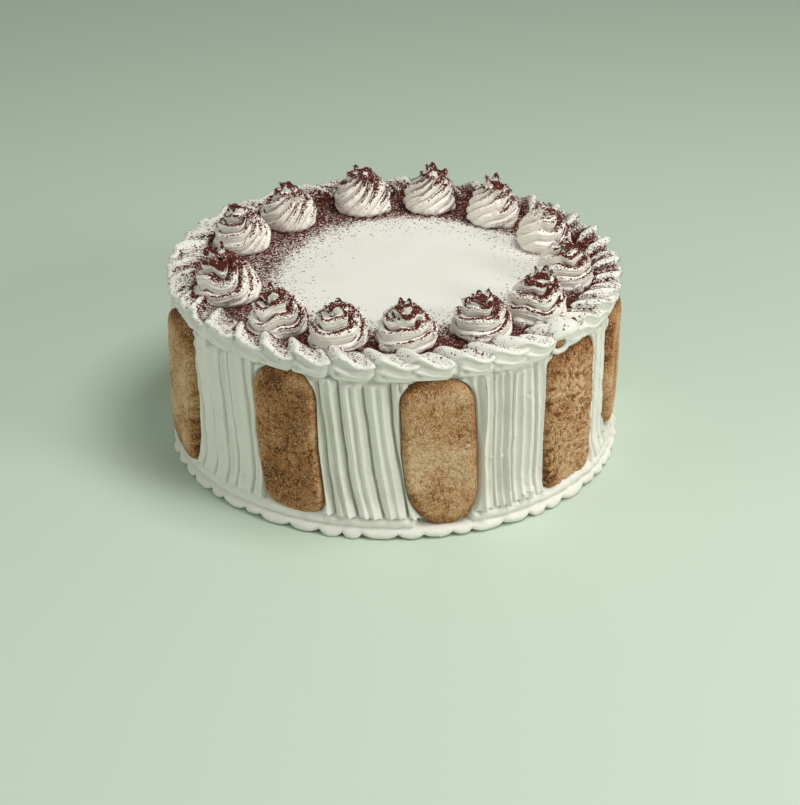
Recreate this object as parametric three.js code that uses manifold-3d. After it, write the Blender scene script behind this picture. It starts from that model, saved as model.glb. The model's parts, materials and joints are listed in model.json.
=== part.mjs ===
// A whole charlotte cake: a tall round cake coated with cream, with sponge fingers set upright
// into its side, combed cream between them, a piped edge at the foot and at the top, and a ring
// of piped swirls on top.
// Millimetres, +Z up. The origin is the middle of the underside, and the front faces -Y.
// An azimuth is in degrees, from the front (-Y) towards +X.
import * as THREE from "three";
import Module from "manifold-3d";

// Driving dimensions.
const GAP = 0.3; // left between pieces that touch
const CAKE_RADIUS = 118.3; // of the cream coat on the side
const CAKE_HEIGHT = 98;
const CAKE_SIDES = 48;
const SHOULDER = 3; // rounding where the side meets the top

const FOOT_HEIGHT = 12.6;
const FOOT_INNER_RADIUS = 111.3;
const FOOT_OUTER_RADIUS = 124.4;
const FOOT_SHELF_RADIUS = 121; // where the top of the foot edge rounds over
const FOOT_GROOVE = { radius: 122.2, height: 7 }; // between its two rows
const FOOT_LIP_HEIGHT = 3.4; // where the lower row stands out most
const FOOT_LOBES = 48;

const EDGE_INNER_RADIUS = 103; // where the top edge meets the cake's top
const EDGE_CREST_RADIUS = 113.5;
const EDGE_CREST_HEIGHT = 102.9;
const EDGE_OUTER_RADIUS = 125.6;
const EDGE_LIP_HEIGHT = 90.9;
const EDGE_SLANT = 5; // degrees that a shell slants to the right from the inside to its lip
const EDGE_SHELLS = 38;
const SHELL_JITTER = 0.07; // share of a shell by which its start wanders
const SHELL_VARIETY = 0.25; // how much the swell of the shells differs

const FINGER_BACK = 113.5; // distance of a finger's flat back from the cake's axis
const FINGER_FACE = 122.7; // and of the middle of its face
const FINGER_POINTS = 16;
const FINGER_ROUND = 0.62; // 1 is an ellipse, towards 0 is a rectangle
// How far a finger's rim lies behind its face, and its outline within the full one, from the
// back to the face.
const FINGER_RIM = [
  { behind: FINGER_FACE - FINGER_BACK, grow: -0.6 },
  { behind: 3, grow: 0 },
  { behind: 0.9, grow: -1.6 },
  { behind: 0, grow: -7 },
];

const PANEL_INNER_RADIUS = CAKE_RADIUS + GAP + 0.3; // its flats clear the round side
const PANEL_GROOVE_RADIUS = 120.9;
const PANEL_RIDGE_RADIUS = 123.2;
const PANEL_THINNEST = 0.9;
const PANEL_TOP = 90.4;
const PANEL_TUCK = 2.5; // how far a panel runs in behind the corners of a finger
// Levels of a combed panel from the foot up: how far its ridges stand out beyond their usual
// radius, and how much of the lean has still to be taken back.
const PANEL_LEVELS = [
  { height: FOOT_HEIGHT + 2 * GAP, out: 1, lean: 1 },
  { height: 24, out: -0.2, lean: 0.8 },
  { height: 84, out: -0.4, lean: 0.1 },
  { height: PANEL_TOP, out: -1.9, lean: 0 },
];

const SWIRL_RIDGES = 6;
const SWIRL_TURN = 230; // degrees that a ridge turns from the base to the tip
const SWIRL_LEVELS = 8;
const SWIRL_GROOVE = 0.8; // radius of a groove as a share of a ridge's
const SWIRL_BUNCHING = 0.3; // how much closer the ridges stand on the inner side, in radians
const SWIRL_TAPER = 0.34; // share of the radius lost evenly towards the tip
const SWIRL_SHOULDER = 0.3; // share of the radius lost mostly near the tip
const SWIRL_CROWN = 0.14; // share of the radius that is left at the tip

// Sponge fingers in order round the cake: where each stands, its width, its lowest and highest
// point, how far its sides draw in half way up, and how far its top leans to the right.
const FINGERS = [
  { azimuth: 10.8, width: 38, bottom: 6.5, top: 90.2, waist: -1, lean: -1.2 },
  { azimuth: 49.6, width: 40.5, bottom: 8, top: 90.6, waist: 0.6, lean: 0.4 },
  { azimuth: 78.5, width: 39.5, bottom: 7.5, top: 90, waist: 0, lean: 0.8 },
  { azimuth: 121, width: 38.5, bottom: 8, top: 90.4, waist: 0.8, lean: -0.8 },
  { azimuth: 163, width: 39.5, bottom: 7, top: 89.6, waist: -0.6, lean: 0.6 },
  { azimuth: 205, width: 38, bottom: 8.5, top: 90.5, waist: 0.5, lean: 1 },
  { azimuth: 247, width: 40, bottom: 7.5, top: 90, waist: 1, lean: -0.5 },
  { azimuth: 290.5, width: 41, bottom: 8, top: 90.4, waist: 0.4, lean: 0.5 },
  { azimuth: 332.6, width: 39.5, bottom: 8.5, top: 90, waist: 1.4, lean: -1 },
];

// Combed panels, each between the finger of the same number and the next one: how many ridges
// it has, and how far its strokes lean to the right from top to bottom.
const PANELS = [
  { ridges: 5, lean: 2 },
  { ridges: 2, lean: 2.5 },
  { ridges: 5, lean: 4 },
  { ridges: 5, lean: 3 },
  { ridges: 5, lean: 5 },
  { ridges: 5, lean: 2 },
  { ridges: 5, lean: 4 },
  { ridges: 5, lean: 4 },
  { ridges: 5, lean: 7 },
];

// Swirls in order round the cake: the azimuth and distance of the base from the cake's axis,
// its radius, the height, and how far the tip leans out and to the right.
const SWIRLS = [
  { azimuth: 4, distance: 92, radius: 15.2, height: 24.4, out: 1, right: -1.5 },
  { azimuth: 29.5, distance: 91, radius: 15.6, height: 24, out: 2, right: -1 },
  { azimuth: 50.5, distance: 95, radius: 15.8, height: 25, out: 0, right: 6 },
  { azimuth: 78.5, distance: 93.5, radius: 15.4, height: 25.6, out: -1, right: 1 },
  { azimuth: 110, distance: 89.5, radius: 15, height: 25.6, out: 0, right: 0 },
  { azimuth: 140, distance: 88.5, radius: 15, height: 26.2, out: 1, right: 0 },
  { azimuth: 167, distance: 89.5, radius: 15, height: 26, out: 0, right: -3 },
  { azimuth: 192.5, distance: 87.5, radius: 16.4, height: 26.2, out: 1.5, right: 0 },
  { azimuth: 224, distance: 88, radius: 16.2, height: 24.6, out: 0, right: -1 },
  { azimuth: 250.5, distance: 90.5, radius: 15.4, height: 26, out: 1, right: 1 },
  { azimuth: 292, distance: 95, radius: 16.8, height: 26.6, out: 3, right: -9 },
  { azimuth: 321.5, distance: 95.5, radius: 15.4, height: 23.4, out: 2, right: -2 },
  { azimuth: 342.6, distance: 94, radius: 15.2, height: 23.6, out: 2, right: 0 },
];

const cream = new THREE.MeshStandardMaterial({ color: 0xece9df, roughness: 0.5, metalness: 0 });
const sponge = new THREE.MeshStandardMaterial({ color: 0xb08a5a, roughness: 0.9, metalness: 0 });

const wasm = await Module();
wasm.setup();

const charlotte = new THREE.Group();
charlotte.name = "charlotte_cake";

function radians(degrees) {
  return THREE.MathUtils.degToRad(degrees);
}

// The point at a distance from the cake's axis, an azimuth and a height.
function around(distance, azimuth, height) {
  const a = radians(azimuth);
  return new THREE.Vector3(distance * Math.sin(a), -distance * Math.cos(a), height);
}

// The angle that an arc of the given length takes at a distance from the axis.
function arcDegrees(length, distance) {
  return THREE.MathUtils.radToDeg(length / distance);
}

// A steady unevenness between -1 and 1 for the piece or place numbered n.
function uneven(n) {
  return Math.sin(n * 12.9898) * Math.cos(n * 4.1414);
}

// A closed surface skinned over rings of equally many points. Each ring runs anticlockwise as
// seen from the ring after it. Open ends are capped on the outline that flat() gives a ring.
// With no flat() the last ring joins the first.
function loft(rings, flat) {
  const count = rings[0].length;
  const faces = [];
  rings.forEach((ring, level) => {
    if (flat && level === rings.length - 1) return;
    const next = (level + 1) % rings.length;
    ring.forEach((_, i) => {
      const j = (i + 1) % count;
      const a = level * count + i;
      const b = level * count + j;
      const c = next * count + i;
      const d = next * count + j;
      faces.push(a, b, d, a, d, c);
    });
  });
  if (flat) {
    const top = (rings.length - 1) * count;
    for (const [i, j, k] of THREE.ShapeUtils.triangulateShape(rings[0].map(flat), [])) {
      faces.push(k, j, i);
    }
    for (const [i, j, k] of THREE.ShapeUtils.triangulateShape(rings.at(-1).map(flat), [])) {
      faces.push(top + i, top + j, top + k);
    }
  }
  return new THREE.BufferGeometry().setFromPoints(rings.flat()).setIndex(faces);
}

// The outline of a ring that lies level, and of one that stands facing the front.
function fromAbove(point) {
  return new THREE.Vector2(point.x, point.y);
}

function fromFront(point) {
  return new THREE.Vector2(point.x, point.z);
}

function solidOf(geometry) {
  return new wasm.Manifold(
    new wasm.Mesh({
      numProp: 3,
      vertProperties: new Float32Array(geometry.getAttribute("position").array),
      triVerts: new Uint32Array(geometry.index.array),
    }),
  );
}

function geometryOf(solid) {
  const mesh = solid.getMesh();
  return new THREE.BufferGeometry()
    .setAttribute("position", new THREE.BufferAttribute(mesh.vertProperties, 3))
    .setIndex(new THREE.BufferAttribute(mesh.triVerts, 1));
}

// A shape with a seat cut into it for each of the given fingers.
function seated(geometry, fingers) {
  const solid = fingers.reduce(
    (rest, finger) => rest.subtract(solidOf(fingerSeat(finger))),
    solidOf(geometry),
  );
  return geometryOf(solid);
}

function add(name, geometry, material) {
  const mesh = new THREE.Mesh(geometry, material);
  mesh.name = name;
  charlotte.add(mesh);
  return mesh;
}

function numbered(name, index) {
  return `${name}_${String(index + 1).padStart(2, "0")}`;
}

// A finger's outline as seen from the front, drawn in or let out by grow, at a distance from
// the cake's axis.
function fingerRing(finger, distance, grow) {
  const middle = (finger.top + finger.bottom) / 2;
  const halfHeight = (finger.top - finger.bottom) / 2 + grow;
  const halfWidth = finger.width / 2 + grow;
  return Array.from({ length: FINGER_POINTS }, (_, i) => {
    const t = (2 * Math.PI * (i + 0.5)) / FINGER_POINTS;
    const across = Math.sign(Math.cos(t)) * Math.abs(Math.cos(t)) ** FINGER_ROUND;
    const up = Math.sign(Math.sin(t)) * Math.abs(Math.sin(t)) ** FINGER_ROUND;
    const drawn = halfWidth - finger.waist * (1 - up * up);
    return new THREE.Vector3(
      drawn * across + finger.lean * up,
      -distance,
      middle + halfHeight * up,
    );
  });
}

// A sponge finger: a slab with a flat back and a face that rounds over at its rim.
function fingerSlab(finger) {
  const rings = FINGER_RIM.map(({ behind, grow }) => fingerRing(finger, FINGER_FACE - behind, grow));
  return loft(rings, fromFront);
}

// The room that a finger takes up in the cream, open to the outside.
function fingerSeat(finger) {
  const outside = 1.2 * FOOT_OUTER_RADIUS;
  return loft(
    [fingerRing(finger, FINGER_BACK - GAP, GAP), fingerRing(finger, outside, GAP)],
    fromFront,
  ).rotateZ(radians(finger.azimuth));
}

function levelCircle(radius, height) {
  return Array.from({ length: CAKE_SIDES }, (_, i) =>
    around(radius, (360 * i) / CAKE_SIDES, height),
  );
}

// The cake itself, which draws in at the foot where the piped edge tucks under the coat.
function addCake() {
  const footRadius = FOOT_INNER_RADIUS - GAP;
  const rings = [
    levelCircle(footRadius, 0),
    levelCircle(footRadius, FOOT_HEIGHT + GAP),
    levelCircle(CAKE_RADIUS, FOOT_HEIGHT + GAP),
    levelCircle(CAKE_RADIUS, CAKE_HEIGHT - SHOULDER),
    levelCircle(CAKE_RADIUS - SHOULDER, CAKE_HEIGHT),
  ];
  add("cake_body", seated(loft(rings, fromAbove), FINGERS), cream);
}

function addFingers() {
  FINGERS.forEach((finger, index) => {
    const mesh = add(numbered("sponge_finger", index), fingerSlab(finger), sponge);
    mesh.rotation.z = radians(finger.azimuth);
  });
}

// One combed panel between two azimuths, level by level from the foot up.
function panelGeometry(panel, from, to) {
  const steps = 2 * panel.ridges;
  const rings = PANEL_LEVELS.map(({ height, out, lean }) => {
    const shift = arcDegrees(panel.lean * (lean - 0.5), PANEL_RIDGE_RADIUS);
    const outer = Array.from({ length: steps + 1 }, (_, i) => {
      const ridge = i % 2 === 1;
      const side = i === 0 || i === steps;
      const radius = (ridge ? PANEL_RIDGE_RADIUS : PANEL_GROOVE_RADIUS) + out + 0.4 * uneven(i + from);
      const azimuth = from + ((to - from) * i) / steps + (side ? 0 : shift);
      return around(Math.max(radius, PANEL_INNER_RADIUS + PANEL_THINNEST), azimuth, height);
    });
    const inner = [1, 2 / 3, 1 / 3, 0].map((along) =>
      around(PANEL_INNER_RADIUS, from + (to - from) * along, height),
    );
    return [...outer, ...inner];
  });
  return loft(rings, fromAbove);
}

function addPanels() {
  PANELS.forEach((panel, index) => {
    const left = FINGERS[index];
    const right = FINGERS[(index + 1) % FINGERS.length];
    const from = left.azimuth + arcDegrees(left.width / 2 - PANEL_TUCK, PANEL_RIDGE_RADIUS);
    const reach = arcDegrees(right.width / 2 - PANEL_TUCK, PANEL_RIDGE_RADIUS);
    const to = right.azimuth + (right.azimuth < left.azimuth ? 360 : 0) - reach;
    add(
      numbered("side_cream", index),
      seated(panelGeometry(panel, from, to), [left, right]),
      cream,
    );
  });
}

// A piped edge that runs round the cake: each shell has a hollow and then a swell, and its
// outline is given from the inside over the crest to the outside and back underneath.
function pipedEdge(shells, swellAt, outline) {
  const rings = [];
  for (let shell = 0; shell < shells; shell++) {
    const start = shell + SHELL_JITTER * uneven(shell);
    const size = 1 + SHELL_VARIETY * uneven(shell + shells);
    rings.push(outline((360 * start) / shells, 0));
    rings.push(outline((360 * (start + swellAt)) / shells, size));
  }
  return loft(rings);
}

// The foot edge: a low rounded roll with a scalloped lip below it.
function addFootEdge() {
  const outline = (azimuth, swell) => [
    around(FOOT_INNER_RADIUS, azimuth, FOOT_HEIGHT),
    around(FOOT_SHELF_RADIUS, azimuth, FOOT_HEIGHT),
    around(FOOT_SHELF_RADIUS + 1.8 + 0.5 * swell, azimuth, FOOT_HEIGHT - 3),
    around(FOOT_GROOVE.radius + 0.3 * swell, azimuth, FOOT_GROOVE.height),
    around(FOOT_OUTER_RADIUS - 0.9 + 1.3 * swell, azimuth, FOOT_LIP_HEIGHT),
    around(FOOT_OUTER_RADIUS - 4, azimuth, 0),
    around(FOOT_INNER_RADIUS, azimuth, 0),
  ];
  add("foot_border", seated(pipedEdge(FOOT_LOBES, 0.5, outline), FINGERS), cream);
}

// How far from the axis the cake's top is covered by swirls along an azimuth.
function swirlReach(azimuth) {
  return SWIRLS.reduce((reach, swirl) => {
    const turn = radians(azimuth - swirl.azimuth);
    const half = (swirl.radius + 1) ** 2 - (swirl.distance * Math.sin(turn)) ** 2;
    if (half < 0 || Math.cos(turn) < 0) return reach;
    return Math.max(reach, swirl.distance * Math.cos(turn) + Math.sqrt(half));
  }, EDGE_INNER_RADIUS);
}

// The top edge: shells that lean over one another, squeezed in where a swirl stands, with a
// lip that hangs over the fingers and panels.
function addTopEdge() {
  const outline = (azimuth, swell) => {
    const inner = swirlReach(azimuth);
    const crest = Math.max(EDGE_CREST_RADIUS, inner + 3);
    const side = CAKE_RADIUS + GAP + 0.2;
    return [
      around(inner, azimuth, CAKE_HEIGHT + GAP),
      around((inner + crest) / 2, azimuth, EDGE_CREST_HEIGHT - 2.2 + 1.4 * swell),
      around(crest, azimuth + 0.2 * EDGE_SLANT, EDGE_CREST_HEIGHT + 2.2 * (swell - 0.5)),
      around(EDGE_OUTER_RADIUS - 4.6, azimuth + 0.4 * EDGE_SLANT, EDGE_CREST_HEIGHT - 2 + 1.8 * swell),
      around(EDGE_OUTER_RADIUS - 2 + 2 * swell, azimuth + 0.7 * EDGE_SLANT, EDGE_CREST_HEIGHT - 5),
      around(EDGE_OUTER_RADIUS - 1.8 + 2 * swell, azimuth + 0.9 * EDGE_SLANT, EDGE_LIP_HEIGHT + 3.4),
      around(EDGE_OUTER_RADIUS - 2 + swell, azimuth + EDGE_SLANT, EDGE_LIP_HEIGHT + 1.6 * (0.5 - swell)),
      around(side, azimuth + EDGE_SLANT, EDGE_LIP_HEIGHT + 1.4),
      around(side, azimuth + EDGE_SLANT, CAKE_HEIGHT - SHOULDER + GAP),
      around(CAKE_RADIUS - SHOULDER, azimuth + 0.4 * EDGE_SLANT, CAKE_HEIGHT + GAP),
    ];
  };
  add("top_border", pipedEdge(EDGE_SHELLS, 0.7, outline), cream);
}

// How wide a swirl is at a share of its height, as a share of its radius at the base.
function swirlWidth(share) {
  const cone = 1 - SWIRL_TAPER * share - SWIRL_SHOULDER * share ** 3;
  const tip = Math.sqrt(Math.max(0, 1 - share ** 7));
  return cone * tip + SWIRL_CROWN * share;
}

// One piped swirl: ridges that wind up from the base to a blunt tip. They lie flatter on the
// outer side of the swirl than on the side that faces the middle of the cake.
function swirlGeometry(swirl) {
  const rings = Array.from({ length: SWIRL_LEVELS + 1 }, (_, level) => {
    const share = (level / SWIRL_LEVELS) ** 0.9;
    const wound = radians(SWIRL_TURN) * share;
    return Array.from({ length: 2 * SWIRL_RIDGES }, (_, i) => {
      const t = (Math.PI * i) / SWIRL_RIDGES + wound;
      const angle = t + SWIRL_BUNCHING * Math.cos(t);
      const depth = i % 2 ? 1 : SWIRL_GROOVE;
      const radius = swirl.radius * swirlWidth(share) * depth;
      return new THREE.Vector3(
        radius * Math.cos(angle) + swirl.right * share ** 2,
        radius * Math.sin(angle) - swirl.out * share ** 2,
        swirl.height * share,
      );
    });
  });
  return loft(rings, fromAbove);
}

function addSwirls() {
  SWIRLS.forEach((swirl, index) => {
    const mesh = add(numbered("cream_swirl", index), swirlGeometry(swirl), cream);
    mesh.position.copy(around(swirl.distance, swirl.azimuth, CAKE_HEIGHT + GAP));
    mesh.rotation.z = radians(swirl.azimuth);
  });
}

addCake();
addFootEdge();
addFingers();
addPanels();
addTopEdge();
addSwirls();

export default charlotte;
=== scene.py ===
import itertools
import json
import math

import bpy
import numpy as np
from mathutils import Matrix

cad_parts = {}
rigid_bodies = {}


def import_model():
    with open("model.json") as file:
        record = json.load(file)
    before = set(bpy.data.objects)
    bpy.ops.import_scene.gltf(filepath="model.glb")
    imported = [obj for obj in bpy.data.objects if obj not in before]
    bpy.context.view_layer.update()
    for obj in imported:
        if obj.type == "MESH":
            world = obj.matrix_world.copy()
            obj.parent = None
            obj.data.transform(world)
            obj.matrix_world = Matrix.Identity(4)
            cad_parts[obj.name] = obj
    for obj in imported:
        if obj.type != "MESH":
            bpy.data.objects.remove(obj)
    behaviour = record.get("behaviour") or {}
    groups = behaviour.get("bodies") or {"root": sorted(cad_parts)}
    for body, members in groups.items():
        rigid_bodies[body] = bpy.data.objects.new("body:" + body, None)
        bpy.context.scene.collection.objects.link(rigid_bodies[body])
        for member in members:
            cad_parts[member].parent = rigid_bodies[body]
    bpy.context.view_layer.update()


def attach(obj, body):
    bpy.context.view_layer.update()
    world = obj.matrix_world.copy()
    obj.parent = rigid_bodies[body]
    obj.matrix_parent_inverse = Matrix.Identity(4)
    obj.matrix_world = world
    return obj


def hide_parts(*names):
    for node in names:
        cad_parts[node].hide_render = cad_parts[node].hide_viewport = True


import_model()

# ---------------------------------------------------------------------------------------------
# The table, the camera and the lamps.
# The cake stands on a plain pale table under a broad soft lamp, with a pale room around it.
# The camera stands a metre off at the front and looks down on the cake.
MM = 0.001
CAMERA_PLACE = (0.0, -1001.9, 550.6)
LOOK_DOWN = 28.17
LOOK_RIGHT = 0.17
LENS = 89.44
TABLE_SIZE = 9000.0
TABLE_COLOUR = (0.58, 0.68, 0.57, 1)
ROOM_COLOUR = (0.86, 0.94, 0.83, 1)
ROOM_LIGHT = 0.275
LAMPS = [  # name, place, size, watts, colour
    ("lamp_above", (400, -220, 1250), 560, 10.0, (1.0, 0.985, 0.95)),
    ("lamp_front", (1100, -760, 680), 380, 7.2, (1.0, 0.99, 0.95)),
    ("lamp_left", (-1000, -600, 500), 600, 2.6, (0.97, 1.0, 0.96)),
]


def add_object(name, data):
    thing = bpy.data.objects.new(name, data)
    bpy.context.scene.collection.objects.link(thing)
    return thing


def set_camera():
    camera = add_object("camera", bpy.data.cameras.new("camera"))
    camera.data.lens = LENS
    camera.data.clip_end = 100
    camera.location = [value * MM for value in CAMERA_PLACE]
    camera.rotation_euler = (math.radians(90 - LOOK_DOWN), 0, -math.radians(LOOK_RIGHT))
    bpy.context.scene.camera = camera


def hang_lamp(name, place, size, watts, colour):
    lamp = add_object(name, bpy.data.lights.new(name, "AREA"))
    lamp.data.size = size * MM
    lamp.data.energy = watts
    lamp.data.color = colour
    lamp.location = [value * MM for value in place]
    towards_cake = -lamp.location
    lamp.rotation_euler = towards_cake.to_track_quat("-Z", "Y").to_euler()


def lay_table():
    half = TABLE_SIZE * MM / 2
    sheet = bpy.data.meshes.new("table")
    corners = [(-half, -half, 0), (half, -half, 0), (half, half, 0), (-half, half, 0)]
    sheet.from_pydata(corners, [], [(0, 1, 2, 3)])
    finish = bpy.data.materials.new("pale_table")
    finish.use_nodes = True
    shader = finish.node_tree.nodes["Principled BSDF"]
    shader.inputs["Base Color"].default_value = TABLE_COLOUR
    shader.inputs["Roughness"].default_value = 0.6
    sheet.materials.append(finish)
    add_object("table", sheet)


def light_room():
    room = bpy.data.worlds.new("room")
    room.use_nodes = True
    room.node_tree.nodes["Background"].inputs["Color"].default_value = ROOM_COLOUR
    room.node_tree.nodes["Background"].inputs["Strength"].default_value = ROOM_LIGHT
    bpy.context.scene.world = room


set_camera()
for lamp in LAMPS:
    hang_lamp(*lamp)
lay_table()
light_room()
bpy.context.scene.view_settings.view_transform = "Standard"

# ---------------------------------------------------------------------------------------------
# The coat: the whole cake under a coat of whipped cream, spread with a long palette knife.
# The side is only a bed for the fingers and the combed cream; the top shows, nearly flat, with
# the faint arcs that the knife leaves.
CAKE_RADIUS = 118.3
SIDE_RADIUS = 114.3
CAKE_HEIGHT = 98.0
COAT_FOOT = 111.0
SHOULDER = 3.0
COAT_COLUMNS = 420
KNIFE_MARK = 0.10
TOP_LIGHT = (0.84, 0.83, 0.80)
CREAM_LIGHT = (0.84, 0.825, 0.765)
CREAM_SHADE = (0.78, 0.76, 0.69)
COCOA_DARK = (0.030, 0.0040, 0.0030)
COCOA_LIGHT = (0.150, 0.034, 0.022)
# The pink haze over the cream where cocoa lies is partly fine powder and partly painted warm shade.
COCOA_HAZE_AND_WARM_SHADE = (0.62, 0.40, 0.32)


def around(distance, azimuth, height):
    """Points at a distance from the cake's axis, an azimuth and a height."""
    turn = np.radians(azimuth)
    parts = np.broadcast_arrays(distance * np.sin(turn), -distance * np.cos(turn), height)
    return np.stack(parts, axis=-1).astype(float)


def lumps(points, size, seed=0):
    """Smooth unevenness between -1 and 1, in lumps of about the given size."""
    grid = np.asarray(points, float) / size + 17.31 * (seed + 1)
    cell = np.floor(grid).astype(np.int64)
    part = grid - cell
    part = part * part * (3 - 2 * part)
    total = np.zeros(grid.shape[:-1])
    for corner in itertools.product((0, 1), repeat=3):
        weight = np.prod(np.where(corner, part, 1 - part), axis=-1)
        mixed = (cell + corner) @ np.array([73856093, 19349663, 83492791])
        mixed = ((mixed ^ (mixed >> 13)) * 1274126177) & 0x7FFFFFFF
        mixed = ((mixed ^ (mixed >> 11)) * 668265263) & 0x7FFFFFFF
        total += weight * ((mixed >> 7) % 65536 / 32767.5 - 1)
    return total


def ease(low, high, value):
    """0 below low, 1 above high, and a smooth step between them."""
    share = np.clip((value - low) / (high - low), 0, 1)
    return share * share * (3 - 2 * share)


def smooth_line(stations, count):
    """A smooth line through the given stations, as evenly spaced points."""
    stations = np.asarray(stations, float)
    chord = np.linalg.norm(np.diff(stations[:, :2], axis=0), axis=1)
    along = np.concatenate([[0], np.cumsum(chord)])
    slope = np.gradient(stations, along, axis=0)
    at = np.linspace(0, along[-1], count)
    left = np.clip(np.searchsorted(along, at, side="right") - 1, 0, len(along) - 2)
    gap = (along[left + 1] - along[left])[:, None]
    share = (at - along[left])[:, None] / gap
    square = share * share
    cube = square * share
    return (
        (2 * cube - 3 * square + 1) * stations[left]
        + (cube - 2 * square + share) * gap * slope[left]
        + (3 * square - 2 * cube) * stations[left + 1]
        + (cube - square) * gap * slope[left + 1]
    )


def skin(points, closed=True, capped=False):
    """Vertices and faces of a surface through rows of points. The rows run up its outside and
    their points run anticlockwise; capped closes the first and the last row."""
    rows, columns = points.shape[:2]
    index = np.arange(rows * columns).reshape(rows, columns)
    if closed:
        index = np.hstack([index, index[:, :1]])
    quads = np.stack([index[:-1, :-1], index[:-1, 1:], index[1:, 1:], index[1:, :-1]], axis=-1)
    faces = quads.reshape(-1, 4).tolist()
    vertices = points.reshape(-1, 3)
    if capped:
        low = len(vertices)
        vertices = np.vstack([vertices, points[0].mean(0), points[-1].mean(0)])
        faces += [(low, b, a) for a, b in zip(index[0], index[0, 1:])]
        faces += [(low + 1, a, b) for a, b in zip(index[-1], index[-1, 1:])]
    return vertices, faces


def make_piece(name, skins, finish, slot, *nodes):
    """One piece of the cake from its skins, in place of the CAD nodes named."""
    vertices, faces, start = [], [], 0
    for points, skin_faces in skins:
        vertices.append(points)
        faces += [tuple(start + corner for corner in face) for face in skin_faces]
        start += len(points)
    mesh = bpy.data.meshes.new(name)
    mesh.from_pydata((np.vstack(vertices) * MM).tolist(), [], faces)
    mesh.polygons.foreach_set("use_smooth", np.ones(len(mesh.polygons), bool))
    mesh.materials.append(finish)
    piece = add_object(name, mesh)
    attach(piece, "root")
    if nodes:
        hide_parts(*nodes)
    return piece


def node_maker(finish):
    """A function that adds a node to a material, sets its values and joins its inputs."""
    tree = finish.node_tree

    def add(kind, values=(), **inputs):
        node = tree.nodes.new("ShaderNode" + kind)
        for key, value in dict(values).items():
            setattr(node, key, value)
        for key, value in inputs.items():
            number = key[1:]
            socket = node.inputs[int(number) if number.isdigit() else key.replace("_", " ")]
            if isinstance(value, bpy.types.NodeSocket):
                tree.links.new(value, socket)
            else:
                socket.default_value = value
        return node

    return add


def whipped_cream(name, softness, grain, light, shade):
    """Whipped cream, with cocoa on it wherever the mesh's cocoa attribute asks for it."""
    finish = bpy.data.materials.new(name)
    finish.use_nodes = True
    add = node_maker(finish)
    shader = finish.node_tree.nodes["Principled BSDF"]
    link = finish.node_tree.links.new
    place = add("TexCoord").outputs["Object"]
    broad = add("TexNoise", Vector=place, Scale=55.0, Detail=3.0).outputs[0]
    clean = add("MixRGB", _0=broad, _1=(*light, 1), _2=(*shade, 1)).outputs[0]
    wanted = add("Attribute", {"attribute_name": "cocoa"}).outputs["Fac"]
    # The cream takes a pink haze as strong as the cocoa there. It is partly fine powder and partly
    # painted warm shade.
    haze = add("Math", {"operation": "MULTIPLY"}, _0=wanted, _1=0.4).outputs[0]
    cream = add("MixRGB", _0=haze, _1=clean, _2=(*COCOA_HAZE_AND_WARM_SHADE, 1)).outputs[0]
    flecks = []
    for scale, share in ((1150.0, 1.0), (2000.0, 0.8)):
        warp = add("TexNoise", Vector=place, Scale=scale * 1.3, Detail=1.0).outputs["Color"]
        shift = add("VectorMath", {"operation": "SCALE"}, _0=warp, Scale=0.9 / scale).outputs[0]
        bent = add("VectorMath", _0=place, _1=shift).outputs[0]
        cells = add("TexVoronoi", Vector=bent, Scale=scale).outputs["Color"]
        chance = add("SeparateColor", _0=cells).outputs[0]
        need = add("Math", {"operation": "MULTIPLY"}, _0=wanted, _1=share).outputs[0]
        flecks.append(add("Math", {"operation": "GREATER_THAN"}, _0=need, _1=chance).outputs[0])
    fleck = add("Math", {"operation": "MAXIMUM"}, _0=flecks[0], _1=flecks[1]).outputs[0]
    tone = add("TexNoise", Vector=place, Scale=1500.0, Detail=2.0).outputs[0]
    tone = add("MapRange", _0=tone, _1=0.36, _2=0.64).outputs[0]
    powder = add("MixRGB", _0=tone, _1=(*COCOA_DARK, 1), _2=(*COCOA_LIGHT, 1)).outputs[0]
    link(add("MixRGB", _0=fleck, _1=cream, _2=powder).outputs[0], shader.inputs["Base Color"])
    dull = add("MapRange", _0=fleck, _3=softness, _4=0.95).outputs[0]
    link(dull, shader.inputs["Roughness"])
    fine = add("TexNoise", Vector=place, Scale=grain, Detail=4.0, Roughness=0.6).outputs[0]
    raised = add("Math", {"operation": "MULTIPLY_ADD"}, _0=fleck, _1=1.2, _2=fine).outputs[0]
    bump = add("Bump", Height=raised, Strength=0.35, Distance=0.0003).outputs[0]
    link(bump, shader.inputs["Normal"])
    shader.inputs["Subsurface Weight"].default_value = 0.12
    shader.inputs["Subsurface Radius"].default_value = (1.0, 0.85, 0.65)
    shader.inputs["Subsurface Scale"].default_value = 0.0015
    shader.inputs["Specular IOR Level"].default_value = 0.2
    return finish


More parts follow.
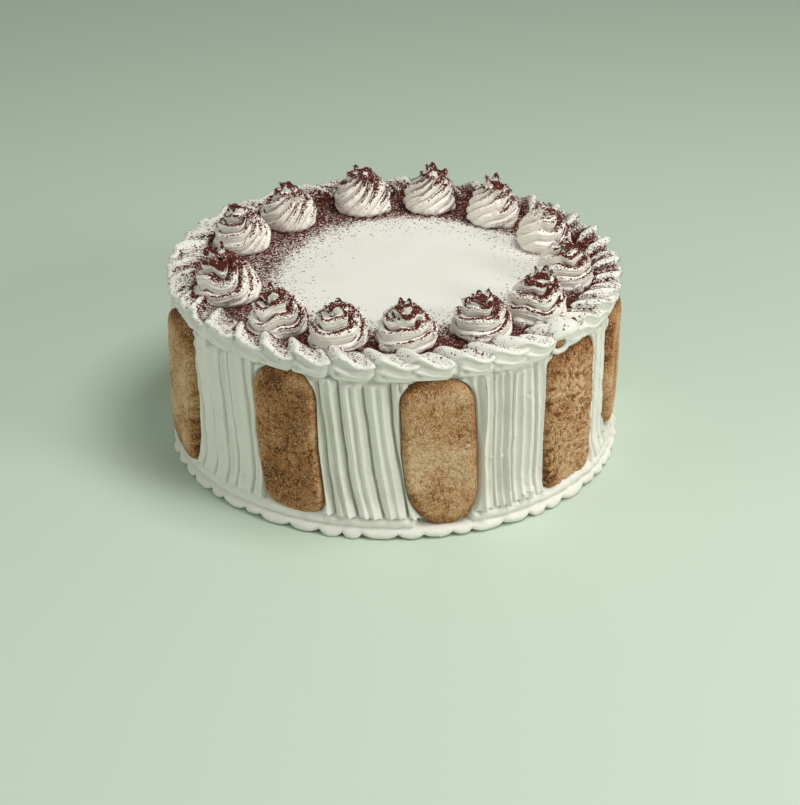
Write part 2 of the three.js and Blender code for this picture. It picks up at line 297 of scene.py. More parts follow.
def spread_coat():
    azimuth = np.arange(COAT_COLUMNS) * 360 / COAT_COLUMNS
    side = [
        (COAT_FOOT, 0.3),
        (COAT_FOOT, 12.9),
        (SIDE_RADIUS - 0.6, 13.4),
        (SIDE_RADIUS, 16),
        *((SIDE_RADIUS, height) for height in range(20, 90, 5)),
        (CAKE_RADIUS, 92),
        (CAKE_RADIUS, CAKE_HEIGHT - SHOULDER),
        (CAKE_RADIUS - 0.3 * SHOULDER, CAKE_HEIGHT - 0.3 * SHOULDER),
        (CAKE_RADIUS - SHOULDER, CAKE_HEIGHT),
    ]
    rings = [*np.arange(114, 70, -0.8), *np.arange(70, 0.5, -1.5)]
    top = [(distance, CAKE_HEIGHT) for distance in rings]
    profile = np.array(side + top)
    points = around(profile[:, :1], azimuth[None], profile[:, 1:])
    flat = np.repeat((profile[:, 1:] == CAKE_HEIGHT), COAT_COLUMNS, axis=1)
    inner = ease(114, 100, np.repeat(profile[:, :1], COAT_COLUMNS, axis=1))
    arcs = np.hypot(points[..., 0] - 150, points[..., 1] + 90)
    marks = 0.35 * lumps(points, 55, 1) + 0.12 * lumps(points, 14, 2)
    marks += KNIFE_MARK * lumps(np.stack([arcs, 0 * arcs, 0 * arcs], -1), 7, 3)
    points[..., 2] += np.where(flat, marks * inner - 0.3 * inner, 0)
    make_piece("cream_coat", [skin(points, capped=True)], SPREAD_CREAM, "smooth_cream", "cake_body")


SPREAD_CREAM = whipped_cream("spread_cream", 0.5, 700.0, TOP_LIGHT, CREAM_SHADE)
PIPED_CREAM = whipped_cream("piped_cream", 0.46, 900.0, CREAM_LIGHT, CREAM_SHADE)
spread_coat()

# ---------------------------------------------------------------------------------------------
# The sponge fingers: nine baked fingers of light sponge pressed upright into the coat.
# Each is a flat slab with rounded ends and a crowned, sugared face full of small pores, darker
# where it has toasted at the rim.
FINGER_BACK = 113.5
FINGER_FACE = 122.7
FINGER_RIM = 4.6
END_ROUND = 0.80
FINGER_COLUMNS = 300
# azimuth, width, lowest, highest, waist, lean, taper, length of the round at the top and at the
# foot, how far the lower left corner is cut off, how far it stands out, and how dark it has baked
FINGERS = [
    (10.9, 37.2, 4.6, 89.8, -0.9, -2.0, 0.0, 16, 24, 5.0, 0.0, 0.30),
    (49.6, 40.3, 6.0, 90.2, 0.4, 0.4, -0.02, 9, 12, 1.0, 0.0, 0.42),
    (78.5, 39.5, 18.0, 90.4, -0.8, 0.8, 0.0, 16, 26, 0.0, 1.5, 0.40),
    (121.0, 38.5, 8.0, 90.4, 0.8, -0.8, 0.02, 15, 16, 2.0, 0.0, 0.35),
    (163.0, 39.5, 7.0, 89.8, -0.6, 0.6, -0.02, 14, 18, 0.0, 0.6, 0.5),
    (205.0, 38.0, 8.5, 90.5, 0.5, 1.0, 0.03, 16, 14, 1.5, 0.0, 0.3),
    (247.0, 40.0, 7.5, 90.0, 1.0, -0.5, 0.0, 14, 16, 0.0, 0.3, 0.4),
    (290.5, 41.0, 6.0, 90.4, 0.4, 0.5, 0.0, 15, 14, 0.0, 2.6, 0.28),
    (332.6, 38.5, 7.5, 90.6, 1.6, -1.2, -0.04, 19, 13, 5.5, 0.6, 0.72),
]
SPONGE_PALE = (0.72, 0.52, 0.33)
SPONGE_GOLD = (0.50, 0.28, 0.125)
SPONGE_SCORCH = (0.34, 0.135, 0.042)
SPONGE_TOAST = (0.11, 0.042, 0.015)
SUGAR = (0.74, 0.64, 0.50)
CRUMB_PLACE = (117.2, 44.6, 95.0)
CRUMB_SIZE = 4.7
CRUMBLE = (0.35, 0.95, 0.3, 0.2, 0.5, 0.15, 0.3, 0.4, 0.15)  # how cracked each face is
PORES = (0.8, 1.3, 0.8, 0.8, 0.8, 0.8, 0.8, 0.8, 0.8)  # how deep its pores are
RIM_TOAST = (0.25, 0.06, 0.25, 0.25, 0.25, 0.25, 0.25, 0.25, -0.22)  # how much darker its rim is


def finger_outline(number, grow=0.0):
    """How far right of a finger's middle and how high its outline lies, all the way round."""
    width, low, high, waist, lean, taper, top_round, foot_round, cut = FINGERS[number][1:-2]
    turn = np.linspace(0, 2 * math.pi, 721)
    side, end = np.cos(turn), np.sin(turn)
    half, tall = width / 2 + grow, (high - low) / 2 + grow
    length = np.where(end > 0, top_round, foot_round)
    across = np.sign(side) * np.abs(side) ** END_ROUND
    straight = tall - length
    up = np.sign(end) * (straight + length * np.abs(end) ** END_ROUND) / tall
    up = up * (np.abs(end) > 1e-9)
    right = across * (half - waist * (1 - up * up)) * (1 + taper * up) + lean * up
    height = (high + low) / 2 + tall * up
    wander = np.stack([height, 40 * np.sign(across), 0 * height], -1)
    right = right + 0.9 * lumps(wander, 19, number) * np.abs(across)
    right = right + cut * ease(44, 4, height) * ease(0.1, -0.9, across)
    passed = np.concatenate([[0], np.cumsum(np.hypot(np.diff(right), np.diff(height)))])
    even = np.linspace(0, passed[-1], FINGER_COLUMNS + 1)[:-1]
    return np.interp(even, passed, right), np.interp(even, passed, height)


def set_round(out, right, height, azimuth):
    """Points given outwards and to the right along one azimuth, and by their height."""
    spin = math.radians(azimuth)
    x = out * math.sin(spin) + right * math.cos(spin)
    y = right * math.sin(spin) - out * math.cos(spin)
    return np.stack([x, y, height], -1)


def bake_finger(number):
    azimuth, _, low, high = FINGERS[number][:4]
    proud, toast = FINGERS[number][-2:]
    front_face = FINGER_FACE + proud
    right, height = finger_outline(number)
    middle = (high + low) / 2
    rim_foot = front_face - FINGER_RIM
    # share of the outline and distance from the cake's axis, from the back over the rim to the
    # middle of the face
    back = [(0.0, FINGER_BACK), (0.5, FINGER_BACK), (0.975, FINGER_BACK), (1.0, FINGER_BACK + 0.8)]
    wall = [(1.0, distance) for distance in np.linspace(FINGER_BACK + 1.4, rim_foot, 7)]
    bends = np.linspace(0, math.pi / 2, 18)[1:]
    over = [
        (1 - 0.165 * (1 - math.cos(bend)), rim_foot + (FINGER_RIM - 0.5) * math.sin(bend))
        for bend in bends
    ]
    face = [
        (share, front_face - 0.5 * (share / 0.835) ** 2)
        for share in np.linspace(0.835, 0.0, 56)[1:]
    ]
    rows = np.array(back + wall + over + face)
    share, distance = rows[:, :1], np.repeat(rows[:, 1:], FINGER_COLUMNS, axis=1)
    x = right[None] * share
    z = middle + (height[None] - middle) * share
    place = np.stack([x, 0 * x, z], -1)
    sponge = 0.9 * lumps(place, 17, 10 + number) + 0.42 * lumps(place, 6.5, 20 + number)
    pores = 0.30 * lumps(place, 2.2, 30 + number) + 0.34 * lumps(place, 0.95, 40 + number)
    crack = lumps(place + 2.0 * lumps(place, 5, 50)[..., None], 7.5, 60 + number)
    pores -= 0.42 * ease(0.07, 0.0, np.abs(crack)) * ease(0.0, 0.6, lumps(place, 15, 70))
    split = lumps(place + 1.4 * lumps(place, 2.2, 51)[..., None], 3.6, 90 + number)
    pores -= CRUMBLE[number] * ease(0.20, 0.0, np.abs(split)) * ease(-0.8, 0.3, lumps(place, 9, 71))
    front = ease(FINGER_BACK + 3, front_face - 2, distance)
    distance = distance + front * (0.45 * sponge + pores * PORES[number])
    inward = 0.22 * pores * ease(FINGER_BACK + 3, front_face - 5, distance)
    x = x * (1 + inward / 20)
    turned = set_round(distance, x, z, azimuth)
    name = f"sponge_{number + 1:02d}"
    node = f"sponge_finger_{number + 1:02d}"
    piece = make_piece(name, [skin(turned)], SPONGE, "sponge", node)
    shade = piece.data.attributes.new("toast", "FLOAT", "POINT")
    rim_toast = ease(0.80, 1.0, np.repeat(share, FINGER_COLUMNS, axis=1))
    uneven = lumps(place, 12, 80 + number)
    # The sponge's tone is made darker down in its pores and cracks.
    deep = ease(0.25, -0.9, pores)
    ends = ease(0.55, 1.0, np.abs(z - middle) / (high - middle))
    ends = ends * ease(-0.5, 0.5, lumps(place, 14, 95 + number))
    values = toast + RIM_TOAST[number] * rim_toast + 0.30 * uneven + 0.55 * deep + 0.4 * ends
    values -= 0.12
    shade.data.foreach_set("value", values.ravel().astype(np.float32))


def baked_sponge():
    """Light sponge: pale crumb, gold to brown where it has toasted, with grains of sugar."""
    finish = bpy.data.materials.new("baked_sponge")
    finish.use_nodes = True
    add = node_maker(finish)
    shader = finish.node_tree.nodes["Principled BSDF"]
    link = finish.node_tree.links.new
    place = add("TexCoord").outputs["Object"]
    toast = add("Attribute", {"attribute_name": "toast"}).outputs["Fac"]
    crumb = add("TexNoise", Vector=place, Scale=1900.0, Detail=2.0, Roughness=0.6).outputs[0]
    spread = add("MapRange", _0=crumb, _1=0.30, _2=0.70, _3=-0.5, _4=0.5).outputs[0]
    baked = add("Math", _0=toast, _1=spread).outputs[0]
    ramp = add("ValToRGB", _0=baked)
    stops = ramp.color_ramp.elements
    stops[0].position, stops[0].color = 0.0, (*SPONGE_PALE, 1)
    stops[1].position, stops[1].color = 1.0, (*SPONGE_TOAST, 1)
    for position, colour in ((0.42, SPONGE_GOLD), (0.74, SPONGE_SCORCH)):
        stops.new(position).color = (*colour, 1)
    cells = add("TexVoronoi", Vector=place, Scale=1900.0)
    chance = add("SeparateColor", _0=cells.outputs["Color"]).outputs[0]
    patch = add("TexNoise", Vector=place, Scale=70.0, Detail=2.0).outputs[0]
    limit = add("MapRange", _0=patch, _1=0.35, _2=0.65, _3=0.985, _4=0.88).outputs[0]
    grain = add("Math", {"operation": "GREATER_THAN"}, _0=chance, _1=limit).outputs[0]
    shows = add("Math", {"operation": "MULTIPLY"}, _0=grain, _1=0.45).outputs[0]
    colour = add("MixRGB", _0=shows, _1=ramp.outputs[0], _2=(*SUGAR, 1)).outputs[0]
    link(colour, shader.inputs["Base Color"])
    rough = add("TexNoise", Vector=place, Scale=1600.0, Detail=3.0).outputs[0]
    height = add("Math", {"operation": "MULTIPLY_ADD"}, _0=grain, _1=0.7, _2=rough).outputs[0]
    bump = add("Bump", Height=height, Strength=0.6, Distance=0.0005).outputs[0]
    link(bump, shader.inputs["Normal"])
    shader.inputs["Roughness"].default_value = 0.9
    shader.inputs["Specular IOR Level"].default_value = 0.2
    return finish


def break_crumb():
    """The crumb of sponge that shows through a small hole in the top edge."""
    turn = np.arange(28) * 2 * math.pi / 28
    lift = np.linspace(-1.5, 1.5, 20)[:, None]
    level = np.cos(lift)
    local = np.stack([level * np.cos(turn), level * np.sin(turn), np.sin(lift) + 0 * turn], -1)
    local = local * CRUMB_SIZE * (1 + 0.12 * lumps(local * 6, 2.0, 97))[..., None]
    ground = around(*CRUMB_PLACE)
    piece = make_piece("sponge_crumb", [skin(local + ground, capped=True)], SPONGE, "sponge")
    shade = piece.data.attributes.new("toast", "FLOAT", "POINT")
    shade.data.foreach_set("value", np.full(len(piece.data.vertices), 0.62, np.float32))


SPONGE = baked_sponge()
for number in range(len(FINGERS)):
    bake_finger(number)
break_crumb()

# ---------------------------------------------------------------------------------------------
# The combed cream: between each finger and the next, cream drawn down the side with a toothed
# comb, stroke beside stroke. The strokes lean and curve out at the bottom, where each one ends
# in a rounded toe on the foot edge.
PANEL_ROWS = 150
PANEL_COLUMNS = 150
PANEL_LOW = 10.0
PANEL_HIGH = 93.0
PANEL_FACE = 121.3
STROKE_TOP = 90.0
FINGER_GAP = 0.35
# width of a stroke, ridges to a stroke, height of a ridge, depth of the gaps between strokes,
# lean to the right from top to bottom, and sway
PANELS = [
    (13.0, 3, 3.2, 2.0, 1.0, 0.3),
    (8.0, 1, 1.8, 2.4, 1.5, 0.3),
    (10.5, 2, 1.5, 2.0, 3.0, 0.8),
    (9.5, 3, 1.4, 1.8, 3.0, 0.8),
    (11.5, 2, 1.6, 2.2, 4.0, 0.8),
    (10.0, 3, 1.4, 1.8, 3.0, 0.8),
    (10.5, 2, 1.6, 2.2, 4.0, 0.8),
    (8.8, 1, 3.4, 2.4, 4.0, 1.5),
    (10.4, 3, 2.6, 4.0, 11.0, 0.6),
]
CURDS = (1.1, 0.5, 0.5, 0.5, 0.5, 0.5, 0.5, 0.5, 0.5)  # how high the curds of each panel stand


def side_of_finger(number, side, height, gap):
    """Where the side of a finger lies at each height, in degrees of azimuth."""
    right, up = finger_outline(number, gap)
    right, up = np.roll(right, -up.argmin()), np.roll(up, -up.argmin())
    top = up.argmax()
    half = slice(0, top + 1) if side > 0 else slice(None, top - 1, -1)
    reach = np.interp(height, up[half], right[half])
    return FINGERS[number][0] + np.degrees(reach / PANEL_FACE)


def from_rim(number, azimuth, height):
    """How far each point of a panel lies from the outline of a finger beside it."""
    right, up = finger_outline(number, FINGER_GAP)
    beside = np.radians(azimuth - FINGERS[number][0]) * PANEL_FACE
    return np.hypot(beside[..., None] - right[::2], height[..., None] - up[::2]).min(-1)


def comb_panel(number):
    stroke, teeth, ridge, gap, lean, sway = PANELS[number]
    rng = np.random.default_rng(100 + number)
    after = (number + 1) % len(FINGERS)
    closer = 0.5 - 0.5 * np.cos(np.linspace(0, math.pi, PANEL_ROWS))
    height = PANEL_LOW + (PANEL_HIGH - PANEL_LOW) * closer
    start = side_of_finger(number, 1, height, FINGER_GAP)
    end = side_of_finger(after, -1, height, FINGER_GAP)
    lap = 360 if after == 0 else 0
    end = end + lap
    centre = (start.mean() + end.mean()) / 2
    share = np.linspace(0, 1, PANEL_COLUMNS)[None]
    azimuth = start[:, None] + (end - start)[:, None] * share
    across = np.radians(azimuth - centre) * PANEL_FACE
    z = np.repeat(height[:, None], PANEL_COLUMNS, axis=1)
    down = (PANEL_HIGH - z) / (PANEL_HIGH - PANEL_LOW)
    flow = across - lean * (down ** 1.9 - 0.4) - sway * np.sin(6 * down + rng.uniform(0, 6))
    raised = np.zeros_like(across)
    toe = np.zeros_like(across)
    top = np.full_like(across, STROKE_TOP)
    reach_out = np.ptp(across) / 2 + 12
    count = int(2 * reach_out / stroke)
    edges = np.linspace(-reach_out, reach_out, count + 1)
    edges = edges + rng.uniform(-0.24, 0.24, count + 1) * stroke
    crests = rng.uniform(0.35, 1.25, (count, teeth + 1))
    for bar in range(count):
        sides = []
        for edge in (bar, bar + 1):
            wander = np.stack([height, 0 * height + 31 * edge, 0 * height], -1)
            bend = 1.1 * lumps(wander, 26, number) + 0.35 * lumps(wander, 9, number)
            sides.append((edges[edge] + bend)[:, None])
        passed = (flow - sides[0]) / (sides[1] - sides[0])
        inside = (passed >= 0) & (passed < 1)
        passed = np.clip(passed, 0, 0.9999)
        tooth = np.floor(passed * teeth).astype(int)
        along = passed * teeth - tooth
        crest = np.stack([z, 9.0 * tooth, 40.0 * bar + 0 * z], -1)
        tall = crests[bar][tooth] * (1 + 0.6 * lumps(crest, 17, 3))
        sharp = tall * np.clip(1 - 2 * along, 0, 1) ** 1.5
        sharp += crests[bar][tooth + 1] * np.clip(2 * along - 1, 0, 1) ** 1.8
        to_edge = np.minimum(passed, 1 - passed) * stroke
        crown = 1 - np.abs(2 * passed - 1) ** 4
        shape = ridge * sharp * ease(0, 0.9, to_edge) + 0.9 * crown
        shape -= gap * rng.uniform(0.5, 1.2) * np.exp(-((to_edge / 0.75) ** 2))
        raised = np.where(inside, shape, raised)
        toe = np.where(inside, crown, toe)
        top = np.where(inside, STROKE_TOP + rng.uniform(-3.2, 1.0) - 2.0 * (1 - crown), top)
    place = around(PANEL_FACE, azimuth, z)
    raised += 0.45 * lumps(place, 9, 5) + 0.14 * lumps(place, 2.4, 6)
    curds = ease(0.4, 0.8, lumps(place, 2.1, 7)) * ease(-0.2, 0.4, lumps(place, 14, 8))
    raised += CURDS[number] * curds
    ledge = ease(top + 0.9, top - 0.9, z)
    flare = 3.0 * ease(25, 11.0, z) ** 1.5 * (0.45 + 0.55 * toe)
    reach = PANEL_FACE - 1.8 + raised * ledge + flare - 1.0 * (1 - ledge)
    reach -= 7.0 * ease(12.6, PANEL_LOW - 1, z + 1.5 * (1 - toe))
    from_left = across - across[:, :1]
    from_right = across[:, -1:] - across
    bead = np.clip(0.5 + 0.5 * lumps(place, 8, 11), 0, 1)
    reach += 1.3 * bead * np.exp(-(((from_left - 1.7) / 1.1) ** 2))
    reach += 0.7 * bead * np.exp(-(((from_right - 1.3) / 0.8) ** 2))
    reach -= 3.5 * ease(0.8, 0.0, np.minimum(from_left, from_right)) ** 1.6
    near = np.minimum(from_rim(number, azimuth, z), from_rim(after, azimuth - lap, z))
    reach = np.minimum(reach, PANEL_FACE - 2.6 + 2.0 * near)
    reach = np.maximum(reach, SIDE_RADIUS - 0.6)
    points = around(reach, azimuth, z)
    name = f"combed_cream_{number + 1:02d}"
    node = f"side_cream_{number + 1:02d}"
    make_piece(name, [skin(points, closed=False)], PIPED_CREAM, "piped_cream", node)


for number in range(len(PANELS)):
    comb_panel(number)

# ---------------------------------------------------------------------------------------------
# The foot edge: cream piped round the bottom with a small nozzle, in two low rows: a rounded
# shelf that the fingers and strokes stand on, and below it a lip of small lobes that hangs
# just over the surface.
FOOT_LOBES = 54
FOOT_BUDS = 60
FOOT_COLUMNS = FOOT_LOBES * 22
# distance, height, share of the lobes below, share of the buds above
FOOT_PROFILE = [
    (112.0, 1.2, 0.0, 0.0),
    (118.0, 0.8, 0.3, 0.0),
    (122.4, 0.5, 0.9, 0.0),
    (125.0, 1.6, 1.0, 0.0),
    (125.1, 3.4, 1.0, 0.0),
    (123.9, 5.0, 0.7, 0.1),
    (122.3, 5.8, 0.2, 0.2),
    (123.3, 7.2, 0.0, 0.8),
    (122.9, 9.4, 0.0, 1.0),
    (121.0, 11.4, 0.0, 0.8),
    (118.0, 12.4, 0.0, 0.3),
    (113.0, 12.4, 0.0, 0.0),
]


def piped_places(count, columns, jitter, seed):
    """The number of the lobe and the share of it passed, at each column round the cake."""
    rng = np.random.default_rng(seed)
    starts = np.arange(count) + rng.uniform(-jitter, jitter, count)
    starts = np.append(starts, count + starts[0])
    at = np.arange(columns) * count / columns + starts[0]
    number = np.clip(np.searchsorted(starts, at, side="right") - 1, 0, count - 1)
    share = (at - starts[number]) / (starts[number + 1] - starts[number])
    return number, np.clip(share, 0, 1), at * 360 / count


def pipe_foot():
    number, share, azimuth = piped_places(FOOT_LOBES, FOOT_COLUMNS, 0.22, 21)
    rng = np.random.default_rng(22)
    size = rng.uniform(0.7, 1.25, FOOT_LOBES)[number]
    lobe = (1 - np.abs(2 * share - 1) ** 2.6) * size
    buds = np.abs(np.sin(math.pi * azimuth * FOOT_BUDS / 360 + 0.8 * np.sin(azimuth / 11)))
    side_on = 0.35 + 0.65 * ease(35, 60, np.abs((azimuth + 180) % 360 - 180))
    rows = smooth_line(FOOT_PROFILE, 60)
    distance = rows[:, :1] + 1.5 * (lobe[None] - 0.6) * rows[:, 2:3]
    distance = distance + 1.4 * side_on * (buds[None] ** 0.7 - 0.5) * rows[:, 3:4]
    from_finger = np.abs((azimuth - FINGERS[0][0] - 1.0 + 180) % 360 - 180)
    behind = ease(8.0, 5.5, from_finger)[None] * ease(5.4, 7.0, rows[:, 1:2])
    distance = distance - 8.0 * behind * ease(112, 120, rows[:, :1])
    height = rows[:, 1:2] - 1.9 * (lobe[None] - 0.8) * rows[:, 2:3] * ease(6.5, 2, rows[:, 1:2])
    height = height + 0.7 * side_on * (buds[None] - 0.5) * rows[:, 3:4]
    rest = around(distance, azimuth[None], height)
    distance = distance + 0.55 * lumps(rest, 5, 31) + 0.22 * lumps(rest, 2.0, 32)
    points = around(distance, azimuth[None], np.maximum(height, 0.15))
    make_piece("foot_edge", [skin(points)], PIPED_CREAM, "piped_cream", "foot_border")


pipe_foot()

# ---------------------------------------------------------------------------------------------
# The top edge: shells of cream piped round the rim with a star nozzle, each over the start of the
# next. A shell starts high and rounded beside the swirls and runs outwards and down to the right.
# It has a flat top, a sharp rim, and a hollow band below the rim with a ridge at its foot.
EDGE_RADIUS = 121
EDGE_SHELLS = 38
SHELL_LENGTH = 1.17  # in spaces from one shell to the next
SHELL_STEPS = 38
SHELL_COLUMNS = 60
SHELL_CORE = (116.5, 96.5)
RIM_HEIGHT = 101.0
SLANT_DOWN = -0.15  # how far right the shell slants for each millimetre below the rim
SLANT_IN = 0.80  # how far left it slants for each millimetre inwards from the rim
# distance, height and how far the shell falls there from its start to its end
EDGE_PROFILE = [
    (113.0, 93.0, 0.0),
    (117.6, 90.8, 0.0),
    (121.2, 89.9, 0.3),
    (122.6, 91.4, 0.8),
    (122.5, 93.2, 1.8),
    (123.2, 94.8, 3.2),
    (122.0, 96.4, 4.2),
    (121.5, 98.2, 5.0),
    (123.0, 99.8, 5.5),
    (124.0, 100.6, 5.6),
    (123.4, 101.4, 5.6),
    (120.4, 102.2, 5.2),
    (115.0, 102.8, 4.4),
    (110.3, 102.4, 3.6),
    (106.3, 100.0, 2.4),
    (103.4, 96.8, 0.4),
]
# distance and height of the bed of cream under the shells
EDGE_BED = [
    (113.0, 93.0),
    (118.6, 91.2),
    (120.9, 92.6),
    (120.8, 96.0),
    (119.6, 99.4),
    (113.0, 99.6),
]
BED_COLUMNS = 360
# azimuth, height and size of the small hole where a crumb of sponge shows through
EYELET = (43.9, 95.3, 3.8)
HOLE_BOTTOM = 117.2
# distance, azimuth and height of the cap over the hole, and how far it reaches each way
CAP_PLACE = (117.5, 46.3, 101.6)
CAP_SIZE = (8.6, 11.0, 4.6)


def open_eyelet(out, turned, up):
    """The surface of the edge, pressed in at the small hole and raised in a ring round it."""
    from_hole = np.radians((turned - EYELET[0] + 180) % 360 - 180) * EDGE_RADIUS
    ring = np.hypot(from_hole / 1.25, up - EYELET[1]) / EYELET[2]
    face = (out > 118) & (up < RIM_HEIGHT)
    raised = 0.5 * np.exp(-(((ring - 1.3) / 0.35) ** 2))
    pressed = np.exp(-(ring ** 4))
    return out + face * (raised - (out - HOLE_BOTTOM) * pressed)


def loop_and_cap():
    """The loop of cream round the small hole, and the rounded cap that folds over it."""
    turn = np.linspace(0, 2 * math.pi, 61)[:, None]
    tube = np.arange(16) * 2 * math.pi / 16
    thick = 1.25 + 0.3 * np.sin(turn + 2.6)
    across = (1.35 * EYELET[2] + thick * np.cos(tube)) * np.cos(turn)
    up = EYELET[1] + (1.1 * EYELET[2] + thick * np.cos(tube)) * np.sin(turn) - 0.04 * across ** 2
    azimuth = EYELET[0] + np.degrees(across / EDGE_RADIUS)
    loop = around(EDGE_RADIUS + 0.8 - thick * np.sin(tube), azimuth, up)
    ring = np.arange(60) * 2 * math.pi / 60
    lift = np.linspace(-1.5, 1.5, 30)[:, None]
    out = CAP_PLACE[0] + CAP_SIZE[0] * np.cos(lift) * np.cos(ring)
    side = CAP_SIZE[1] * np.cos(lift) * np.sin(ring)
    rise = CAP_PLACE[2] + CAP_SIZE[2] * np.sin(lift) - 0.03 * side ** 2
    cap = around(out, CAP_PLACE[1] + np.degrees(side / EDGE_RADIUS), rise)
    cap = cap + 0.5 * lumps(cap, 5, 46)[..., None]
    return [skin(loop), skin(cap, capped=True)]


def pipe_shell(middle, pitch, rng):
    along = np.linspace(0, 1, SHELL_STEPS)[:, None]
    section = smooth_line(EDGE_PROFILE, SHELL_COLUMNS)[::-1]
    distance, height, fall = section.T[:, None]
    from_front = (middle + 180) % 360 - 180
    calm = ease(-20, -45, from_front)
    left = ease(-34, -52, from_front) * ease(-125, -100, from_front)
    size = rng.uniform(0.75, 1.2) * (1 - 0.3 * calm) * (1 + left * rng.uniform(-0.5, 0.2))
    hook = rng.uniform(0.3, 1.4)
    length = SHELL_LENGTH * pitch * rng.uniform(0.95, 1.06)
    start_body = np.sqrt(1 - (1 - np.clip(along / 0.22, 0, 1)) ** 2)
    end_body = np.sqrt(1 - np.clip((along - 0.82) / 0.18, 0, 1) ** 2)
    body = np.maximum(start_body * end_body, 0.08)
    sink = 0.5 * np.cos(math.pi * np.clip((along - 0.06) / 0.68, 0, 1))
    sink = sink + 0.45 * ease(0.74, 1.05, along)
    up = height + fall * size * sink
    out = distance + fall * 0.26 * (along - 0.5)
    top = ease(100.6, 102, height) * ease(123.0, 120, distance)
    up = up - 0.8 * top * np.sin(math.pi * np.clip((along - 0.15) / 0.75, 0, 1)) ** 2
    front = distance > 120
    line = 95.6 - 2.4 * along
    out = out + 1.1 * hook * front * (1 - along) * np.exp(-(((height - line) / 0.8) ** 2))
    start = np.exp(-(((along - 0.24) / 0.07) ** 2))
    out = out - 2.2 * hook * front * start * np.exp(-(((height - line + 2.0) / 0.9) ** 2))
    out = SHELL_CORE[0] + (out - SHELL_CORE[0]) * body
    up = SHELL_CORE[1] + (up - SHELL_CORE[1]) * body
    slant = SLANT_DOWN * (RIM_HEIGHT - up) - SLANT_IN * np.maximum(EDGE_RADIUS - out, 0)
    bend = np.stack([middle * 2 + 24 * along + 0 * up, 2 * up, 0 * up], -1)
    slant = slant + 1.5 * lumps(bend, 13, 45) + 2.0 * left * lumps(bend, 6, 47)
    turned = middle + np.degrees(((along - 0.5) * length + slant) / EDGE_RADIUS)
    for finger in FINGERS:
        aside = np.radians(np.abs((turned - finger[0] + 180) % 360 - 180)) * EDGE_RADIUS
        up = up + 0.5 * ease(0.95, 0.6, aside / (finger[1] / 2)) * ease(94, 91, up)
    out = open_eyelet(out, turned, up)
    rest = around(out, turned, up)
    rough = (0.35 + 0.35 * calm + 0.6 * left) * lumps(rest, 6 - 2 * left, 43)
    rough = rough + 0.13 * lumps(rest, 1.9, 44)
    return skin(around(out + rough * body, turned, up + 0.5 * rough * body), capped=True)


def pipe_top_edge():
    rng = np.random.default_rng(42)
    places = np.arange(EDGE_SHELLS) + rng.uniform(-0.16, 0.16, EDGE_SHELLS)
    azimuth = np.arange(BED_COLUMNS) * 360 / BED_COLUMNS
    bed = smooth_line(EDGE_BED, 26)
    out = open_eyelet(bed[:, :1] + 0 * azimuth[None], azimuth[None], bed[:, 1:])
    skins = [skin(around(out, azimuth[None], bed[:, 1:]))]
    pitch = 2 * math.pi * EDGE_RADIUS / EDGE_SHELLS
    for place in places:
        skins.append(pipe_shell(place * 360 / EDGE_SHELLS, pitch, rng))
    skins += loop_and_cap()
    make_piece("top_edge", skins, PIPED_CREAM, "piped_cream", "top_border")


pipe_top_edge()

# ---------------------------------------------------------------------------------------------
# The swirls: thirteen rosettes of cream piped on the top with a wide star nozzle, turned
# as it is lifted. Outside, the ridges lie in flat bands one over the other; towards the middle
# of the cake they stand steeply. Each ends in a curl of small petals where the cream tore off.
SWIRL_COLUMNS = 232
SWIRL_ROWS = 112
RIDGES = 5
FLAT_RIDGES = 0.20  # ridges to a radian where they lie flattest
BAND = 6.1  # height of a band
LIP = 1.1  # how far a band swells outwards, and how far its top edge is lifted
# share of the radius and of the height, from the foot to the tip
SWIRL_PROFILE = [
    (0.90, 0.0),
    (0.96, 0.12),
    (0.95, 0.27),
    (0.88, 0.42),
    (0.77, 0.54),
    (0.63, 0.64),
    (0.49, 0.73),
    (0.38, 0.80),
    (0.25, 0.86),
    (0.04, 0.89),
]
SWIRL_SUNK = 0.4  # how far its foot has sunk into the coat
# SWIRL_LIGHT and SWIRL_SHADE make the swirls' cream a brighter, pinker copy of the other cream.
# This is painted light, and the pink is painted warm bounce light from the cocoa, mixed over the
# swirls in broad random patches.
SWIRL_LIGHT = (0.96, 0.92, 0.86)
SWIRL_SHADE = (0.89, 0.82, 0.74)
# azimuth, distance, radius, height, lean of the tip outwards and to the right
SWIRLS = [
    (4.0, 92.0, 15.2, 24.4, 1.0, -1.5),
    (29.5, 91.0, 15.6, 24.0, 2.0, -1.0),
    (50.5, 95.0, 15.8, 25.0, 0.0, 6.0),
    (78.5, 93.5, 15.4, 25.6, -1.0, 1.0),
    (110.0, 89.5, 15.0, 25.6, 0.0, 0.0),
    (140.0, 88.5, 15.0, 26.2, 1.0, 0.0),
    (167.0, 89.5, 15.0, 26.0, 0.0, -3.0),
    (192.5, 87.5, 16.4, 26.2, 1.5, 0.0),
    (224.0, 88.0, 16.2, 24.6, 0.0, -1.0),
    (250.5, 90.5, 15.4, 26.0, 1.0, 1.0),
    (292.0, 95.0, 16.8, 26.6, 3.0, -9.0),
    (321.5, 95.5, 15.4, 23.4, 2.0, -2.0),
    (342.6, 94.0, 15.2, 23.6, 2.0, 0.0),
]


